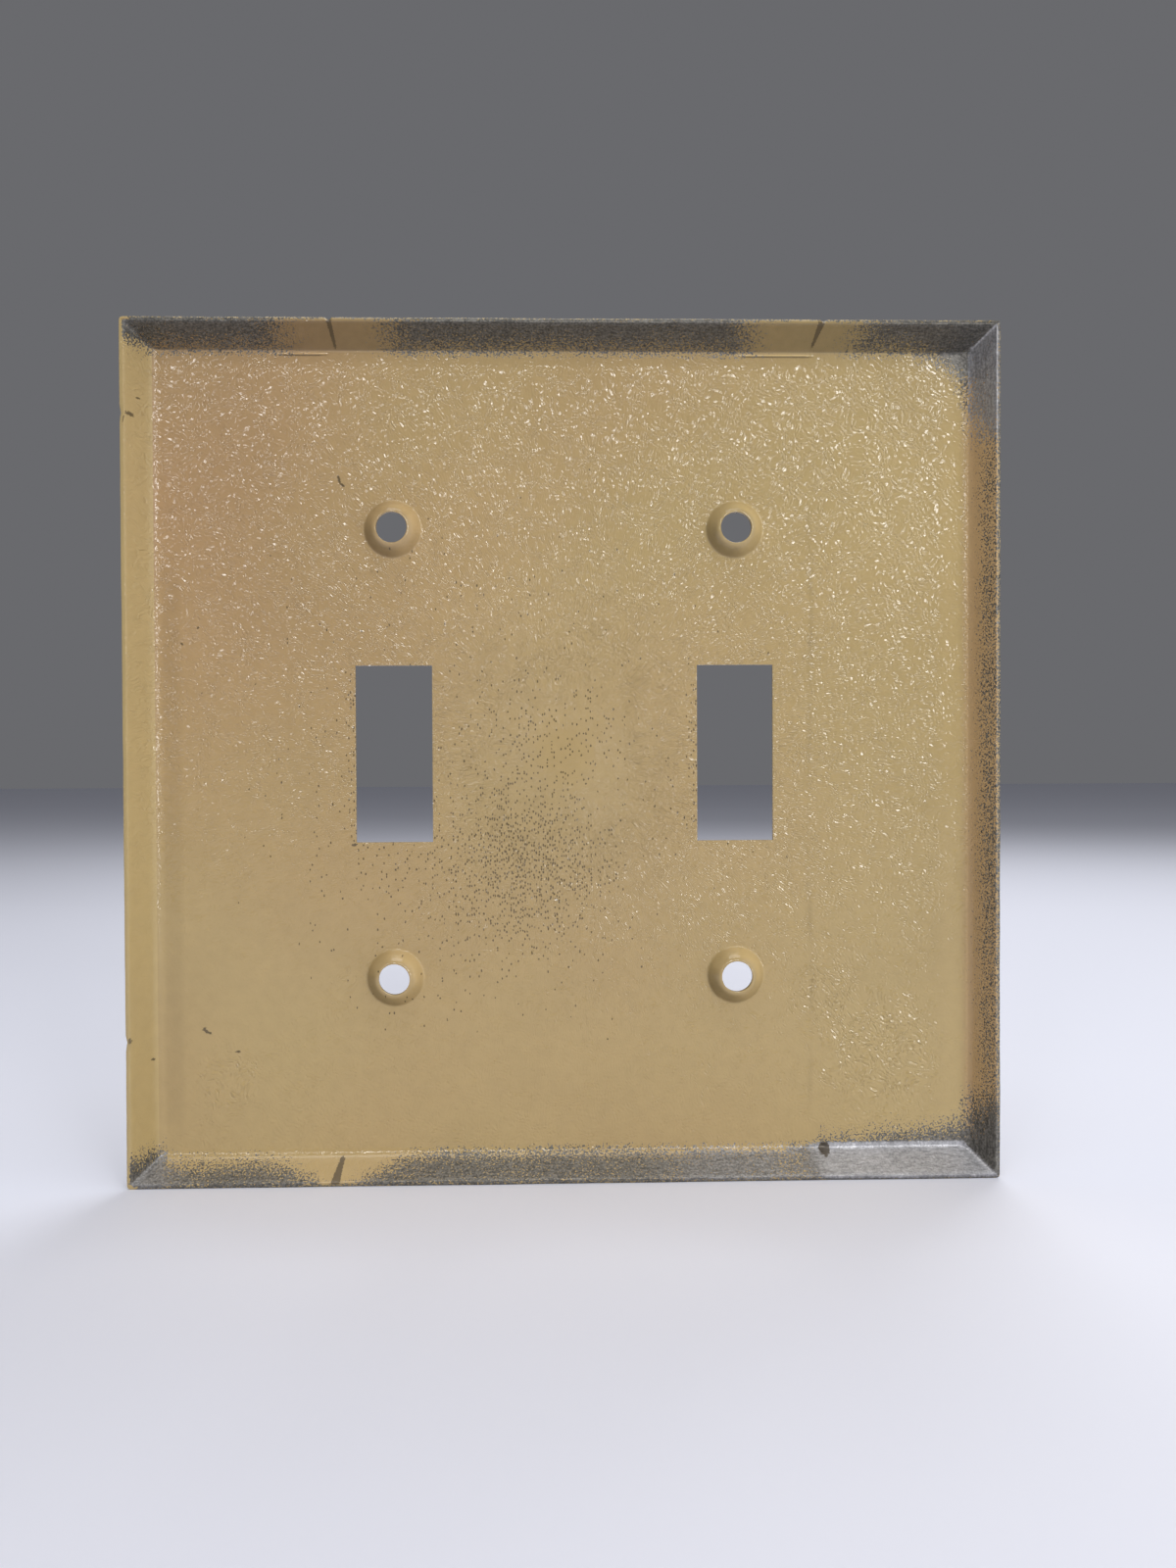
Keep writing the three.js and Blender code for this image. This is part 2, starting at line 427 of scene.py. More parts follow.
def tone_and_painted_light_of(x, z, ex, ez, on_flange, size):
    """How light the enamel is: slow drifts, painted shade on the top flange and painted light on the others, and on
    the face its edges, marks, and the painted shade and highlight of its burrs and dimples.
    """
    tone_and_painted_light = 0.5 + 0.03 * wander(x, z, 30.0, 7) + 0.02 * wander(x, z, 9.0, 8)
    tone_and_painted_light -= 0.08 * step_up(-x, 0.0, 50.0) * step_up(z, -20.0, 45.0)
    # Painted light: the right bend and flange are made lighter, most towards the rim.
    if x > 0 and ex > 0 and ex > ez:
        tone_and_painted_light += 0.12 + 0.05 * step_up(ex, 1.5, 3.0)
    # Painted shade on the top flange, which faces down, and painted light on the bottom flange, which faces up.
    if on_flange and ez > ex:
        return tone_and_painted_light + (-0.38 if z > 0 else 0.15)
    # Painted light on the left flange, which faces the lights on the right.
    if on_flange:
        return tone_and_painted_light + (0.15 if x < 0 and ex > ez else 0.0)

    # A paler or darker band along each edge of the face, and a dark corner at the upper right.
    tone_and_painted_light -= 0.09 * step_up(within(x, -53.8, -51.6), -0.5, 0.5) * step_up(within(z, -52.7, 27.6), -1.0, 6.0)
    tone_and_painted_light += 0.03 * step_up(-z, 30.0, 45.0) + 0.04 * step_up(-z, 46.0, 53.0)
    tone_and_painted_light += 0.07 * step_up(x, 50.4, 52.4)
    tone_and_painted_light -= 0.10 * step_up(z, 51.4, 53.0) + 0.12 * step_up(x + z, 101.0, 104.0)

    line_x, line_top, line_bottom = FACE_LINE
    drift = 0.25 * wander(0.0, z, 20.0, 9)
    along = step_up(within(z, line_bottom, line_top), -1.0, 5.0) * (0.55 + 0.45 * wander(x, z, 7.0, 10))
    tone_and_painted_light -= 0.15 * along * step_up(-abs(x - line_x - drift), -0.6, 0.0)

    # Painted shade just below each burr, and a painted highlight just above it.
    for low, high in BEND_BURRS:
        along = step_up(within(x, low, high), -0.4, 1.2)
        tone_and_painted_light -= 0.70 * along * step_up(-abs(z - BURR_Z + 0.15), -0.16, -0.04)
        tone_and_painted_light += 0.65 * along * step_up(-abs(z - BURR_Z - 0.10), -0.14, -0.02)

    # Painted highlight on the upper right of each dimple, and painted shade on its lower left.
    dx, dz = from_nearest_hole(x, z, size)
    from_hole = math.hypot(dx, dz)
    lit = (dx + dz) / (math.sqrt(2) * from_hole)  # 1 on the upper right of a dimple, and -1 on the lower left
    on_dimple = step_up(within(from_hole, 2.3, 4.1), 0.0, 0.5)
    return tone_and_painted_light + on_dimple * (0.26 * step_up(lit, 0.1, 0.9) - 0.34 * step_up(-lit, 0.15, 0.95))


def warmth_of(x, z, ex, ez, on_flange):
    """How pink the enamel is: most at the upper left of the face and on the right bend, least on the left flange."""
    warmth = 0.25 + 0.55 * step_up(-x, 4.0, 46.0) * step_up(z, -25.0, 40.0) + 0.18 * wander(x, z, 24.0, 11)
    warmth *= 1.0 - 0.8 * step_up(x, 10.0, 45.0)
    warmth += 0.7 * step_up(x, 53.6, 55.2)
    if on_flange and x < 0 and ex > ez:
        warmth *= 0.2
    return min(1.0, max(0.0, warmth))


def ripple_of(x, z, ex, ez, on_flange, size):
    """How strong the ripple is: weaker low down, on the flanges, on the dimples and near the top and right bends."""
    ripple = 0.35 if on_flange else 1.0
    if x < 0 and ex > ez:
        ripple = 0.35 + 0.65 * step_up(-ex, -2.6, -1.8) * step_up(z, -25.0, 5.0)
    ripple *= 1.0 - 0.5 * step_up(-z, 8.0, 36.0)
    for patch in NIB_PATCHES:
        ripple += 1.6 * bump_at(x, z, *patch)
    ripple *= 1.0 - 0.75 * step_up(z, 51.2, 52.8)
    ripple *= 1.0 - 0.6 * step_up(x, 49.8, 51.6) * (1 - step_up(x, 53.0, 55.0))
    from_hole = math.hypot(*from_nearest_hole(x, z, size))
    return ripple * (1.0 - 0.85 * step_up(-from_hole, -4.2, -3.6))


def rubbed_and_painted_light_of(x, z, ex, ez):
    """How bright the steel is, as rubbed steel and painted light: most at the right of the bottom flange, and some at
    the top of the right flange.
    """
    rubbed_and_painted_light = 0.0
    if z < 0 and ez > max(-0.4, ex - 0.1):
        rubbed_and_painted_light = step_up(x, 31.0, 36.0) * (0.75 + 0.25 * wander(x, z, 6.0, 12))
        rubbed_and_painted_light = max(rubbed_and_painted_light, 0.25 * step_up(-x, 49.0, 55.0), 0.25 * step_up(x, 8.0, 22.0))
    # Painted light at the top of the right flange.
    if x > 0 and z > 38 and ex > max(0.3, ez):
        rubbed_and_painted_light = max(rubbed_and_painted_light, 0.5 * step_up(z, 39.0, 44.0))
    return rubbed_and_painted_light


def scarred_of(x, z):
    """1 on a rack mark and on the dent in the bottom bend."""
    dent_x, dent_z, dent_radius = BEND_DENT
    in_dent = step_up(-math.hypot(x - dent_x, z - dent_z), -dent_radius, -0.7)
    return max(in_dent, *(stroke(x, z, mark) for mark in RACK_MARKS))


def hollow_paint(x, z, station, size):
    """The paint fields of a point on the hollow side, in the order of PAINT_FIELDS."""
    ex = abs(x) - (size["width"] / 2 - size["flange_plan"])
    ez = abs(z) - (size["height"] / 2 - size["flange_plan"])
    on_flange = station > BEND_STEPS / 2
    coat = coat_of(x, z, ex, ez)
    rubbed_and_painted_light = rubbed_and_painted_light_of(x, z, ex, ez)
    if coat < 0.5 and z < 0:
        coat -= 0.5 * rubbed_and_painted_light
    return (
        coat,
        pinholes_of(x, z),
        tone_and_painted_light_of(x, z, ex, ez, on_flange, size),
        warmth_of(x, z, ex, ez, on_flange),
        ripple_of(x, z, ex, ez, on_flange, size),
        rubbed_and_painted_light,
        scarred_of(x, z),
        1.0,
    )


# In the order of PAINT_FIELDS.
FACE_PAINT = (FULL_COAT, 0.0, 0.56, 0.0, 0.3, 0.0, 0.0, 0.0)  # the decorative side has a full, even coat
RIM_PAINT = (0.36, 0.0, 0.30, 0.0, 0.3, 0.0, 0.0, 0.0)  # the sheared end of the sheet is rubbed bare in dashes


# ---- the plate's mesh ----


def pressed_skin(size, stations):
    """The hollow side of the plate as an open skin. The "face" layer holds where the face side of each point goes."""
    pitch, spacing = size["gang_pitch"] / 2, size["screw_spacing"] / 2
    slot_x, slot_z = size["slot_width"] / 2, size["slot_height"] / 2
    keys_x = [0.0] + [FACE_LINE[0] + step for step in (-0.9, -0.6, -0.3, 0.0, 0.3, 0.6)]
    start_x = size["width"] / 2 - size["flange_plan"]
    start_z = size["height"] / 2 - size["flange_plan"]
    keys_x += [side * (start_x - gap) for side in SIDES for gap in (0.3, 0.6, 0.9)]
    keys_z = [0.0, 0.3 - start_z, 0.6 - start_z]
    keys_z += [BURR_Z - 0.3, BURR_Z - 0.15, BURR_Z, BURR_Z + 0.1]
    keys_z += [nick_z + step for _, nick_z, _, _ in LEFT_NICKS for step in (-0.3, 0.0, 0.3)]
    for side in SIDES:
        middle = side * pitch
        keys_x += [middle, middle - DIMPLE_PATCH, middle + DIMPLE_PATCH]
        keys_x += [middle + s * (slot_x + gap) for s in SIDES for gap in (0.0, 0.22)]
        keys_z += [side * (slot_z + gap) for gap in (0.0, 0.22)]
        keys_z += [side * spacing, side * spacing - DIMPLE_PATCH, side * spacing + DIMPLE_PATCH]
    for (x0, _), _, _, _ in RACK_MARKS[:2]:
        keys_x += [x0 + step * MARK_CELL for step in range(-7, 8)]
    keys_x += [BEND_DENT[0] + step * MARK_CELL for step in range(-6, 7)]
    marks_x = plan_marks(size["width"] / 2, keys_x, size, stations)
    marks_z = plan_marks(size["height"] / 2, keys_z, size, stations)

    bm = bmesh.new()
    columns, rows = len(marks_x) - 1, len(marks_z) - 1
    bmesh.ops.create_grid(bm, x_segments=columns, y_segments=rows, size=0.5)
    bmesh.ops.translate(bm, verts=bm.verts[:], vec=(0.5, 0.5, 0.0))
    face_side = bm.verts.layers.float_vector.new("face")
    ring = bm.verts.layers.int.new("ring")
    for vert in bm.verts:
        mark_x = marks_x[round(vert.co.x * columns)]
        mark_z = marks_z[round(vert.co.y * rows)]
        station = max(mark_x[2], mark_z[2])
        _, hollow_y, _, face_y = stations[station]
        hollow, face = (mark_x[0], mark_z[0]), (mark_x[1], mark_z[1])
        if mark_x[2] and mark_z[2]:
            sharpness = CORNER_SHARPNESS[(1 if mark_x[0] > 0 else -1, 1 if mark_z[0] > 0 else -1)]
            hollow = rounded_corner(*hollow, start_x, start_z, size["land_plan"], sharpness)
            face = rounded_corner(*face, start_x, start_z, size["flange_plan"], sharpness)
        vert.co = (hollow[0], hollow_y, hollow[1])
        vert[face_side] = (face[0], face_y, face[1])
        vert[ring] = station
    return bm, face_side, ring


def cut_openings(bm, size):
    """Take out the toggle slots and the squares of sheet that the dimples replace."""
    gone = []
    for face in bm.faces:
        centre = face.calc_center_median()
        for middle in (-size["gang_pitch"] / 2, size["gang_pitch"] / 2):
            dx, dz = abs(centre.x - middle), abs(centre.z)
            in_slot = dx < size["slot_width"] / 2 and dz < size["slot_height"] / 2
            in_dimple = dx < DIMPLE_PATCH and abs(dz - size["screw_spacing"] / 2) < DIMPLE_PATCH
            if in_slot or in_dimple:
                gone.append(face)
    bmesh.ops.delete(bm, geom=gone, context="FACES")


def raise_dimple(bm, face_side, x, z, rings):
    """Draw the sheet inwards, ring by ring, from the square round a screw hole to the hole."""
    reach = DIMPLE_PATCH + SLACK
    loop = [
        e
        for e in bm.edges
        if e.is_boundary and all(abs(v.co.x - x) < reach and abs(v.co.z - z) < reach for v in e.verts)
    ]
    for number, (radius, y, face_radius, face_y) in enumerate(rings):
        grown = bmesh.ops.extrude_edge_only(bm, edges=loop)["geom"]
        loop = [g for g in grown if isinstance(g, bmesh.types.BMEdge) and g.is_boundary]
        for vert in {v for e in loop for v in e.verts}:
            dx, dz = vert.co.x - x, vert.co.z - z
            turn = even_angle(dx, dz) if number == 0 else math.atan2(dz, dx)
            c, s = math.cos(turn), math.sin(turn)
            vert.co = (x + radius * c, y, z + radius * s)
            vert[face_side] = (x + face_radius * c, face_y, z + face_radius * s)


def mitre_corners(bm, size):
    """Split the mesh along the four mitres, so that each is one crisp line."""
    start_x = size["width"] / 2 - size["flange_plan"]
    start_z = size["height"] / 2 - size["flange_plan"]
    for side_x in SIDES:
        for side_z in SIDES:
            corner = [
                f
                for f in bm.faces
                if all(v.co.x * side_x > start_x - SLACK and v.co.z * side_z > start_z - SLACK for v in f.verts)
            ]
            edges = dict.fromkeys(e for f in corner for e in f.edges)
            verts = dict.fromkeys(v for f in corner for v in f.verts)
            bmesh.ops.bisect_plane(
                bm,
                geom=[*corner, *edges, *verts],
                dist=1e-3,
                plane_co=(side_x * start_x, 0, side_z * start_z),
                plane_no=(side_x, 0, -side_z),
            )


def pressed_plate_mesh(sizes):
    """The whole plate as one closed mesh in metres, with its paint fields."""
    size = millimetres(sizes)
    stations = flange_stations(size)
    bm, face_side, ring = pressed_skin(size, stations)
    mitre_corners(bm, size)
    cut_openings(bm, size)
    rings = dimple_rings(size)
    for x in (-size["gang_pitch"] / 2, size["gang_pitch"] / 2):
        for z in (-size["screw_spacing"] / 2, size["screw_spacing"] / 2):
            raise_dimple(bm, face_side, x, z, rings)
    bmesh.ops.recalc_face_normals(bm, faces=bm.faces[:])
    bm.normal_update()
    if sum(f.normal.y for f in bm.faces) < 0:
        bmesh.ops.reverse_faces(bm, faces=bm.faces[:])

    fields = [bm.verts.layers.float.new(name) for name in PAINT_FIELDS]
    for vert in bm.verts:
        for field, value in zip(fields, hollow_paint(vert.co.x, vert.co.z, vert[ring], size)):
            vert[field] = value

    # The sheet gets its thickness: the copy of the skin becomes the decorative side.
    grown = bmesh.ops.extrude_face_region(bm, geom=bm.faces[:])["geom"]
    on_face_side = {g for g in grown if isinstance(g, bmesh.types.BMVert)}
    last = len(stations) - 1
    for vert in on_face_side:
        vert.co = vert[face_side]
        paint = RIM_PAINT if vert[ring] == last and vert.co.x > -size["width"] / 2 + 1 else FACE_PAINT
        for field, value in zip(fields, paint):
            vert[field] = value
    for vert in bm.verts:
        vert.co = handled(vert.co, vert[ring], vert in on_face_side, size)

    # Deburred rim, punched slots and pierced holes all have a slightly broken edge.
    bm.normal_update()
    sharp = [e for e in bm.edges if len(e.link_faces) == 2 and e.calc_face_angle() > SHARP_EDGE]
    bmesh.ops.bevel(
        bm,
        geom=sharp,
        offset=BROKEN_EDGE,
        offset_type="OFFSET",
        segments=2,
        profile=0.5,
        affect="EDGES",
        clamp_overlap=True,
        material=-1,
    )
    bmesh.ops.scale(bm, vec=(MM, MM, MM), verts=bm.verts[:])
    if bm.calc_volume(signed=True) < 0:
        bmesh.ops.reverse_faces(bm, faces=bm.faces[:])
    for face in bm.faces:
        face.smooth = True
    open_edges = sum(1 for e in bm.edges if not e.is_manifold)
    if open_edges:
        raise RuntimeError(f"the pressed plate isn't closed: it has {open_edges} open edges")
    mesh = bpy.data.meshes.new("pressed_plate")
    bm.to_mesh(mesh)
    bm.free()
    return mesh


# ---- the finish ----

# Brown blemishes baked into the enamel: x, z, half length and half width in mm, and the long side's lean in degrees.
BLEMISHES = (
    (-30.15, 36.85, 0.52, 0.20, 108.0),
    (-29.75, 36.10, 0.34, 0.17, -25.0),
    (-48.3, -37.3, 0.62, 0.22, -28.0),
    (-48.7, -36.9, 0.30, 0.20, 60.0),
    (-44.2, -40.0, 0.34, 0.15, 5.0),
    (-55.3, -40.7, 0.20, 0.18, 0.0),
    (-28.4, -12.2, 0.42, 0.20, 15.0),
    (-56.8, 44.6, 0.42, 0.26, -20.0),
    (-57.4, 43.8, 0.50, 0.10, 80.0),
    (-57.4, -37.6, 0.40, 0.26, 75.0),
    (-56.1, 47.0, 0.18, 0.13, 0.0),
    (-49.1, 17.0, 0.20, 0.13, 40.0),
    (-51.2, 14.8, 0.26, 0.14, -30.0),
)
# Sizes in the finish, in mm.
DROPLET = 0.24  # of spray dust
PIT_SPACING = 0.31  # between the places where a pinhole may lie
MOTTLE = 1.6  # of the enamel's lightness
STREAK = 0.35  # a rolling streak of the steel, before it is stretched
SPECK = 0.3  # of oil or dust on the steel
COAT_STEP = 0.02  # from the top of the enamel down to the steel
SCRATCH_DEPTH = 0.05  # in the bare steel
NIB_ARC = 42.0  # radius at which the nibs have their true width
NIB_DRIFT = 2.0  # how far the rows of nibs wander, over twice that distance
NIB_FADE = (5.0, 14.0)  # radii between which the nibs rise out of the smooth middle
NIB_CROWD = 2.6  # of a patch in which the nibs stand steeper or flatter
# Ratios in the finish.
NIB_STRETCH = 1.9  # length of a nib over its width
ENAMEL_LIGHT = 0.435  # lightness of the enamel where its tone and mottle are 0


def add_node(tree, kind, inputs=(), **settings):
    """Add one shader node. Its inputs are named or in order, each a constant, a socket or a node's first output."""
    node = tree.nodes.new("ShaderNode" + kind)
    node.location = (180 * (len(tree.nodes) % 9), -260 * (len(tree.nodes) // 9))
    for name, value in settings.items():
        setattr(node, name, value)
    for socket, value in inputs.items() if isinstance(inputs, dict) else enumerate(inputs):
        if isinstance(value, bpy.types.Node):
            value = value.outputs[0]
        if isinstance(value, bpy.types.NodeSocket):
            tree.links.new(value, node.inputs[socket])
        else:
            node.inputs[socket].default_value = value
    return node


def new_material(name):
    """An empty material, and the function that adds nodes to it."""
    material = bpy.data.materials.new(name)
    material.use_nodes = True
    material.node_tree.nodes.clear()
    return material, partial(add_node, material.node_tree)


def sprayed_enamel(look):
    """Baked enamel, sprayed over cold-rolled sheet steel.

    The eye gets a soft tan gloss with a fine ripple that glitters, spray dust that thins out to bare grey steel at the
    rim, a cloud of pinholes in the middle, and brown marks where the paint rack's wires touched.
    """
    material, add = new_material("sprayed_enamel_on_steel")
    place = add("TexCoord").outputs["Object"]
    field = {name: add("Attribute", attribute_name=name).outputs["Fac"] for name in PAINT_FIELDS}

    # Spray dust gives the coat and every mark a ragged edge.
    dust = add("TexNoise", {"Vector": place, "Scale": 1 / (DROPLET * MM), "Detail": 1.0, "Roughness": 0.5})
    ragged = add("Math", (dust, 0.5), operation="SUBTRACT")
    coat_edge = add("Math", (ragged, 2.4, field[COAT]), operation="MULTIPLY_ADD")
    coat = add("MapRange", (coat_edge, 0.44, 0.56))
    bare = add("Math", (1.0, coat), operation="SUBTRACT")

    # Plan coordinates: the plate's X and Z as the texture's X and Y.
    flat = add("Mapping", {"Vector": place, "Rotation": (math.radians(90), 0.0, 0.0)})

    # Pinholes are short upright specks, each in its own cell, and the field says how many of the cells hold one.
    upright = add("Mapping", {"Vector": flat, "Scale": (1.0, 0.6, 1.0)})
    pits = add("TexVoronoi", {"Vector": upright, "Scale": 1 / (PIT_SPACING * MM)}, voronoi_dimensions="2D")
    chance = add("SeparateColor", (pits.outputs["Color"],))
    holds_one = add("Math", (chance, field[PINHOLES]), operation="LESS_THAN")
    pit_edge = add("Math", (ragged, 0.6, pits.outputs["Distance"]), operation="MULTIPLY_ADD")
    pit = add("MapRange", (pit_edge, 0.36, 0.24))
    blemish = add("Math", (pit, holds_one), operation="MULTIPLY")

    # Blemishes are ellipses.
    for x, z, half_length, half_width, lean in BLEMISHES:
        inside = {
            "Vector": place,
            "Location": (x * MM, 0.0, z * MM),
            "Rotation": (0.0, -math.radians(lean), 0.0),
            "Scale": (half_length * MM, 1.0, half_width * MM),
        }
        ellipse = add("Mapping", inside, vector_type="TEXTURE")
        radius = add("VectorMath", (ellipse,), operation="LENGTH").outputs["Value"]
        spot_edge = add("Math", (ragged, 1.6, radius), operation="MULTIPLY_ADD")
        spot = add("MapRange", (spot_edge, 1.15, 0.8))
        blemish = add("Math", (blemish, spot), operation="MAXIMUM")
    blemish = add("Math", (blemish, field[HOLLOW]), operation="MULTIPLY")

    # Enamel colour: two tans, drifting over centimetres, with a fine mottle from the ripple's own thickness.
    tans = {0: field[WARMTH], 6: (*look.enamel, 1.0), 7: (*look.warm_enamel, 1.0)}
    tan = add("Mix", tans, data_type="RGBA").outputs[2]
    mottle = add("TexNoise", {"Vector": place, "Scale": 1 / (MOTTLE * MM), "Detail": 4.0, "Roughness": 0.6})
    lightness = add("Math", (mottle, 0.16, ENAMEL_LIGHT), operation="MULTIPLY_ADD")
    lightness = add("Math", (field[TONE_AND_PAINTED_LIGHT], 0.9, lightness), operation="MULTIPLY_ADD")
    enamel = add("VectorMath", {0: tan, "Scale": lightness}, operation="SCALE")

    # Steel colour: grey, brighter where it is rubbed and where it carries painted light, with rolling streaks and with
    # specks that rubbing takes away.
    greys = {0: field[RUBBED_AND_PAINTED_LIGHT], 6: (*look.steel, 1.0), 7: (*look.bright_steel, 1.0)}
    steel = add("Mix", greys, data_type="RGBA").outputs[2]
    streaked = add("Mapping", {"Vector": place, "Scale": (0.3, 1.0, 0.2)})
    streaks = add("TexNoise", {"Vector": streaked, "Scale": 1 / (STREAK * MM), "Detail": 4.0, "Roughness": 0.7})
    specks = add("TexNoise", {"Vector": place, "Scale": 1 / (SPECK * MM), "Detail": 2.0, "Roughness": 0.5})
    speck_light = add("MapRange", (specks, 0.38, 0.62, -0.32, 0.34))
    speck_share = add("MapRange", (field[RUBBED_AND_PAINTED_LIGHT], 0.0, 1.0, 1.0, 0.3))
    speckle = add("Math", (speck_light, speck_share, 1.0), operation="MULTIPLY_ADD")
    grain = add("MapRange", (streaks, 0.3, 0.7, 0.66, 1.26))
    # The steel takes the enamel's darker tone, and with it the painted shade of the top flange.
    shade = add("MapRange", (field[TONE_AND_PAINTED_LIGHT], 0.3, 0.5, 0.72, 1.0))
    for factor in (shade, speckle):
        grain = add("Math", (grain, factor), operation="MULTIPLY")
    steel = add("VectorMath", {0: steel, "Scale": grain}, operation="SCALE")

    scar_edge = add("Math", (ragged, 1.2, field[SCARRED]), operation="MULTIPLY_ADD")
    scar = add("MapRange", (scar_edge, 0.3, 0.7))
    scar = add("Math", (scar, blemish), operation="MAXIMUM")
    scar = add("Math", (scar, 0.85), operation="MULTIPLY")
    surface_colour = add("Mix", {0: coat, 6: steel, 7: enamel}, data_type="RGBA").outputs[2]
    surface_colour = add("Mix", {0: scar, 6: surface_colour, 7: (*look.scar, 1.0)}, data_type="RGBA").outputs[2]

    # The nibs are dashes that point away from the plate's middle, and each is a wedge that is tilted its own way.
    right, up, _ = add("SeparateXYZ", (flat,)).outputs
    outward = add("VectorMath", (flat,), operation="LENGTH").outputs["Value"]
    angle = add("Math", (up, right), operation="ARCTAN2")
    around = add("Math", (angle, NIB_ARC * MM), operation="MULTIPLY")
    along = add("Math", (outward, NIB_STRETCH), operation="DIVIDE")
    rays = add("CombineXYZ", (along, around))
    drift = add("TexNoise", {"Vector": place, "Scale": 0.5 / (NIB_DRIFT * MM), "Detail": 2.0}).outputs["Color"]
    rays = add("VectorMath", (drift, (NIB_DRIFT * MM,) * 3, rays), operation="MULTIPLY_ADD")
    nibs = add("TexVoronoi", {"Vector": rays, "Scale": 1 / look.nib_spacing}, voronoi_dimensions="2D")
    off_middle = add("VectorMath", (rays, nibs.outputs["Position"]), operation="SUBTRACT")
    steep = math.tan(look.nib_tilt) / MM
    tilt_span = (2 * steep * NIB_STRETCH, 2 * steep, 0.0)
    tilt_start = (-steep * NIB_STRETCH, -steep, 0.0)
    tilt = add("VectorMath", (nibs.outputs["Color"], tilt_span, tilt_start), operation="MULTIPLY_ADD")
    nib = add("VectorMath", (off_middle, tilt), operation="DOT_PRODUCT").outputs["Value"]
    crowd_noise = add("TexNoise", {"Vector": place, "Scale": 1 / (NIB_CROWD * MM), "Detail": 2.0, "Roughness": 0.5})
    crowd = add("MapRange", (crowd_noise, 0.38, 0.58, 0.6, 1.15))
    inside_cell = add("MapRange", (nibs.outputs["Distance"], 0.58, 0.32))
    risen = add("MapRange", (outward, NIB_FADE[0] * MM, NIB_FADE[1] * MM))
    for factor in (inside_cell, risen, crowd, field[HOLLOW]):
        nib = add("Math", (nib, factor), operation="MULTIPLY")

    # Relief in mm: the ripple and its nibs, then the step from enamel down to steel, then the steel's scratches.
    swell = add("TexNoise", {"Vector": place, "Scale": 1 / look.ripple, "Detail": 1.5, "Roughness": 0.45})
    ripple = add("Math", (swell, look.ripple_height / MM, nib), operation="MULTIPLY_ADD")
    ripple = add("Math", (ripple, field[RIPPLE]), operation="MULTIPLY")
    scratches = add("Math", (bare, streaks), operation="MULTIPLY")
    relief = add("Math", (coat, COAT_STEP, ripple), operation="MULTIPLY_ADD")
    relief = add("Math", (scratches, SCRATCH_DEPTH, relief), operation="MULTIPLY_ADD")
    normal = add("Bump", {"Height": relief, "Strength": 1.0, "Distance": MM})

    # Oil and dust lie on the bare steel, so it isn't a full metal.
    metallic = add("Math", (bare, 0.55), operation="MULTIPLY")
    roughness = add("MapRange", (coat, 0.0, 1.0, 0.40, 0.13))
    finish = {"Base Color": surface_colour, "Metallic": metallic, "Roughness": roughness, "Normal": normal}
    add("OutputMaterial", {"Surface": add("BsdfPrincipled", finish)})
    return material


# ---- the studio ----

CAMERA_PLACE = (-2.248, -178.436, -1.183)
CAMERA_TURN = (89.067, 0.251, -1.668)
CAMERA_LENS = 31.06
CAMERA_SENSOR = 36.0  # height
FLOOR_REACH = 3000.0
STIPPLE = 1.5  # a bump of the floor's roller stipple, in mm
STIPPLE_HEIGHT = 0.1

# Softboxes: clock angle round the plate's axis, angle off it, distance, power as a share, and side, in mm and degrees.
# The small ones stand in an arc round the viewer, and each makes the ripple glitter where it mirrors them.
SOFTBOXES = (
    ("softbox_arc_1", 163.0, 34.0, 1200.0, 0.60, 165.0),
    ("softbox_arc_2", 132.0, 34.0, 1200.0, 1.00, 165.0),
    ("softbox_arc_3", 103.0, 34.0, 1200.0, 1.42, 165.0),
    ("softbox_arc_4", 75.0, 34.0, 1200.0, 1.42, 165.0),
    ("softbox_arc_5", 48.0, 34.0, 1200.0, 1.60, 165.0),
    ("softbox_arc_6", 22.0, 34.0, 1200.0, 1.60, 165.0),
    ("softbox_arc_7", -1.0, 34.0, 1200.0, 1.15, 165.0),
    ("softbox_side", 25.0, 66.0, 900.0, 2.0, 900.0),
    ("softbox_overhead", 90.0, 84.0, 700.0, 1.9, 480.0),
    ("softbox_behind", 70.0, 128.0, 700.0, 1.8, 400.0),
)


def matt_paint(name, rgb):
    """Matt emulsion on board: an even, pale surface with a faint roller stipple."""
    material, add = new_material(name)
    place = add("TexCoord").outputs["Object"]
    stipple = add("TexNoise", {"Vector": place, "Scale": 1 / (STIPPLE * MM), "Detail": 3.0})
    normal = add("Bump", {"Height": stipple, "Strength": 0.2, "Distance": STIPPLE_HEIGHT * MM})
    paint = {"Base Color": (*rgb, 1.0), "Roughness": 0.75, "Normal": normal}
    add("OutputMaterial", {"Surface": add("BsdfPrincipled", paint)})
    return material


def aim(obj, place, target):
    """Put a light or camera at place and turn its -Z to the target, both in millimetres."""
    place, target = Vector(place) * MM, Vector(target) * MM
    obj.location = place
    obj.rotation_euler = (target - place).to_track_quat("-Z", "Y").to_euler()


# ---- operators ----


class WALLPLATE_OT_pressed_plate(bpy.types.Operator):
    """Build the plate: one pressed sheet of enamelled steel"""

    bl_idname = "wall_plate.pressed_plate"
    bl_label = "Pressed Plate"

    def execute(self, context):
        scene = context.scene
        mesh = pressed_plate_mesh(scene.wall_plate_sizes)
        mesh.materials.append(sprayed_enamel(scene.wall_plate_enamel))
        plate = bpy.data.objects.new("pressed_plate", mesh)
        scene.collection.objects.link(plate)
        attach(plate, "root")
        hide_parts("wall_plate")
        return {"FINISHED"}


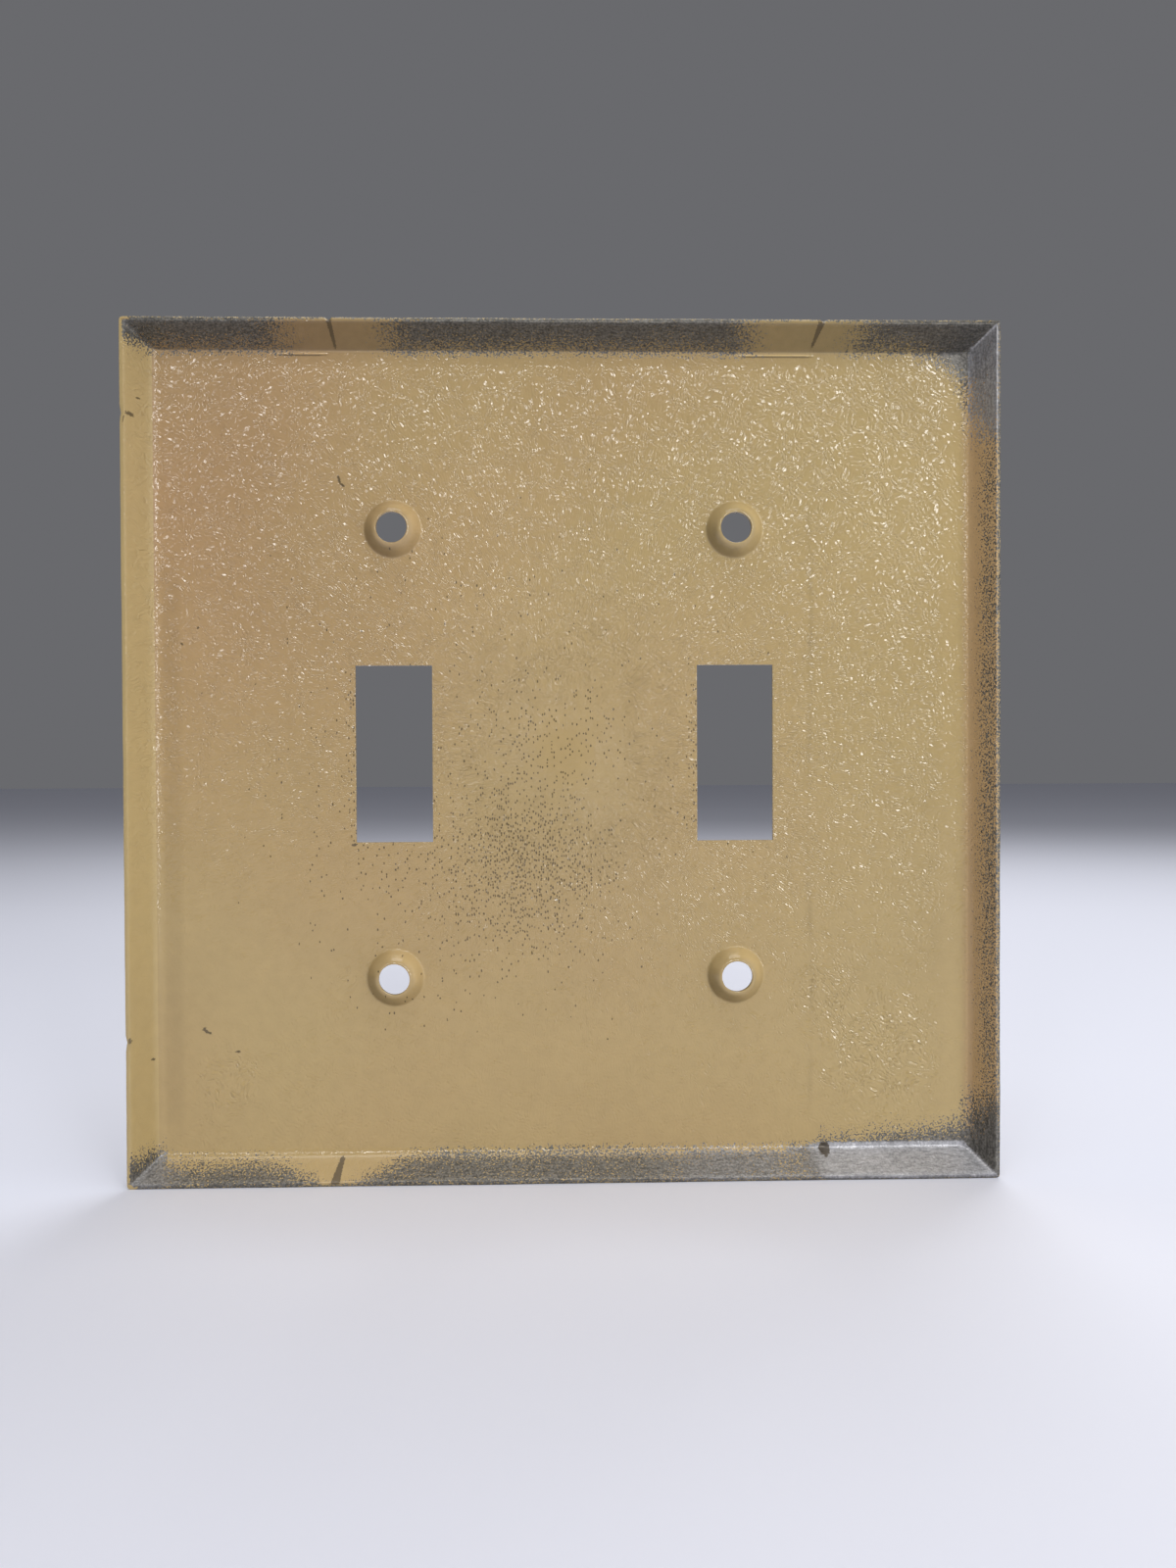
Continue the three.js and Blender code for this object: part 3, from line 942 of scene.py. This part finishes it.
class WALLPLATE_OT_studio(bpy.types.Operator):
    """Build the floor, the surroundings, the softboxes and the camera"""

    bl_idname = "wall_plate.studio"
    bl_label = "Studio"

    def execute(self, context):
        scene = context.scene
        look = scene.wall_plate_studio

        bm = bmesh.new()
        bmesh.ops.create_grid(bm, x_segments=1, y_segments=1, size=FLOOR_REACH * MM)
        bmesh.ops.translate(bm, verts=bm.verts[:], vec=(0.0, 0.0, PLATE_LOW[2]))
        mesh = bpy.data.meshes.new("floor")
        bm.to_mesh(mesh)
        bm.free()
        mesh.materials.append(matt_paint("matt_floor_paint", look.floor))
        floor = bpy.data.objects.new("floor", mesh)
        scene.collection.objects.link(floor)

        world = bpy.data.worlds.new("pale_surroundings")
        world.use_nodes = True
        background = world.node_tree.nodes["Background"]
        background.inputs["Color"].default_value = (*look.surroundings, 1.0)
        background.inputs["Strength"].default_value = look.fill
        scene.world = world

        for name, clock, off_axis, distance, share, side in SOFTBOXES:
            light = bpy.data.lights.new(name, "AREA")
            light.size = side * MM
            light.energy = look.softbox * share
            lamp = bpy.data.objects.new(name, light)
            turn, lean = math.radians(clock), math.radians(off_axis)
            across = distance * math.sin(lean)
            place = (across * math.cos(turn), -distance * math.cos(lean), across * math.sin(turn))
            aim(lamp, place, (0.0, 0.0, 0.0))
            lamp.visible_camera = False
            scene.collection.objects.link(lamp)

        lens = bpy.data.cameras.new("camera")
        lens.sensor_fit = "VERTICAL"
        lens.sensor_height = CAMERA_SENSOR
        lens.lens = CAMERA_LENS
        lens.clip_start = 0.01
        camera = bpy.data.objects.new("camera", lens)
        camera.location = Vector(CAMERA_PLACE) * MM
        camera.rotation_euler = [math.radians(a) for a in CAMERA_TURN]
        scene.collection.objects.link(camera)
        scene.camera = camera
        scene.view_settings.view_transform = "Standard"
        return {"FINISHED"}


class WALLPLATE_PT_panel(bpy.types.Panel):
    """Buttons and sizes for the wall plate cover"""

    bl_idname = "WALLPLATE_PT_panel"
    bl_label = "Wall Plate Cover"
    bl_space_type = "VIEW_3D"
    bl_region_type = "UI"
    bl_category = "Wall Plate"

    def draw(self, context):
        for operator in (WALLPLATE_OT_pressed_plate, WALLPLATE_OT_studio):
            self.layout.operator(operator.bl_idname)
        for group in SETTINGS:
            box = self.layout.box()
            for name in SETTINGS[group].__annotations__:
                box.prop(getattr(context.scene, group), name)


SETTINGS = {
    "wall_plate_sizes": PlateSizes,
    "wall_plate_enamel": EnamelLook,
    "wall_plate_studio": StudioLook,
}
CLASSES = (*SETTINGS.values(), WALLPLATE_OT_pressed_plate, WALLPLATE_OT_studio, WALLPLATE_PT_panel)


def register():
    for cls in CLASSES:
        bpy.utils.register_class(cls)
    for name, group in SETTINGS.items():
        setattr(bpy.types.Scene, name, PointerProperty(type=group))


def unregister():
    for name in SETTINGS:
        delattr(bpy.types.Scene, name)
    for cls in reversed(CLASSES):
        bpy.utils.unregister_class(cls)


def main():
    register()
    bpy.ops.wall_plate.pressed_plate()
    bpy.ops.wall_plate.studio()


if __name__ == "__main__":
    main()
